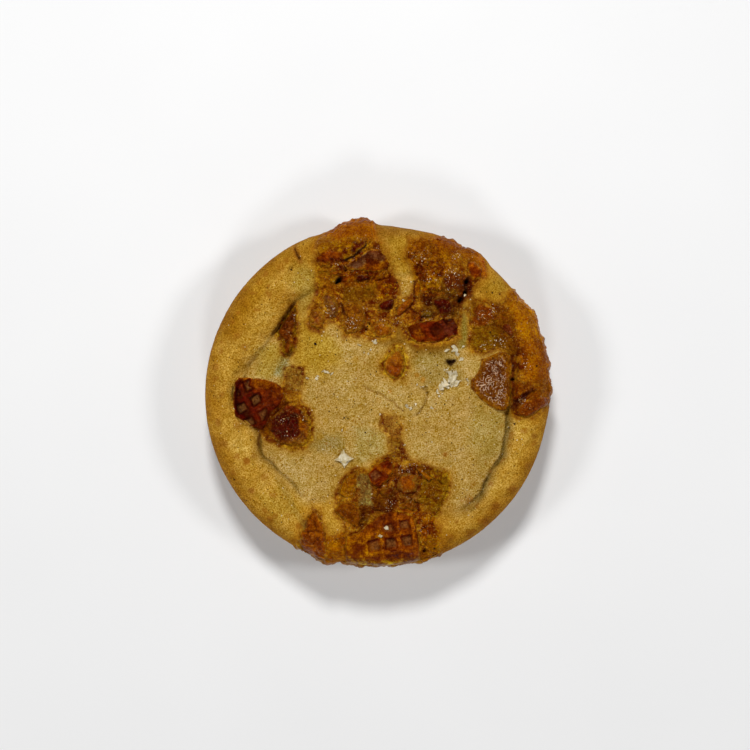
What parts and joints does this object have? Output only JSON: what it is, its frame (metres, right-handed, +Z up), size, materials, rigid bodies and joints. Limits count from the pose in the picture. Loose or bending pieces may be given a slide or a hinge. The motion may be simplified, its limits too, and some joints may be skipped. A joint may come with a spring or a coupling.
{
  "type": "caramel waffle cookie",
  "caption": "Round tin-baked cookie with a raised rim and sunken middle, set with broken syrup waffle pieces and caramel lumps; rests on its flat underside.",
  "frame": {"origin": "centre of the flat underside, on the axis of the round outline", "axes": "+Z up out of the top; +Y towards the side with the largest caramel overflow; +X to the right of it as seen from above"},
  "size_m": [0.1006, 0.1008, 0.0192],
  "materials": {
    "baked_dough": "dry baked crumb, golden brown at the rim and pale in the middle",
    "syrup_waffle": "syrup-soaked waffle, glossy dark brown",
    "caramel": "baked caramel, glossy and rough",
    "golden_caramel": "golden baked caramel, satin"
  },
  "bodies": {
    "root": {"caramel_fold_left": "caramel", "chunk_middle": "golden_caramel", "chunk_rim_left": "caramel", "crumb_left": "caramel", "dough": "baked_dough", "flake_front": "golden_caramel", "flake_front_low": "golden_caramel", "lump_right": "golden_caramel", "lump_top_dark": "caramel", "lump_top_left": "golden_caramel", "lump_top_low": "golden_caramel", "lump_top_red": "caramel", "lump_top_round": "golden_caramel", "lump_top_second": "caramel", "lump_upper_dark": "caramel", "lump_upper_right": "caramel", "lump_upper_small": "golden_caramel", "nugget_front": "golden_caramel", "nugget_front_dark": "caramel", "plate_right": "caramel", "shard_front": "golden_caramel", "shard_front_low": "caramel", "shard_right": "syrup_waffle", "shard_top": "caramel", "stick_top": "golden_caramel", "strip_top": "golden_caramel", "tongue_right": "golden_caramel", "waffle_front": "syrup_waffle", "waffle_front_small": "syrup_waffle", "waffle_left": "syrup_waffle", "waffle_middle": "syrup_waffle", "waffle_top": "syrup_waffle", "waffle_upper_right": "syrup_waffle"}
  },
  "joints": []
}
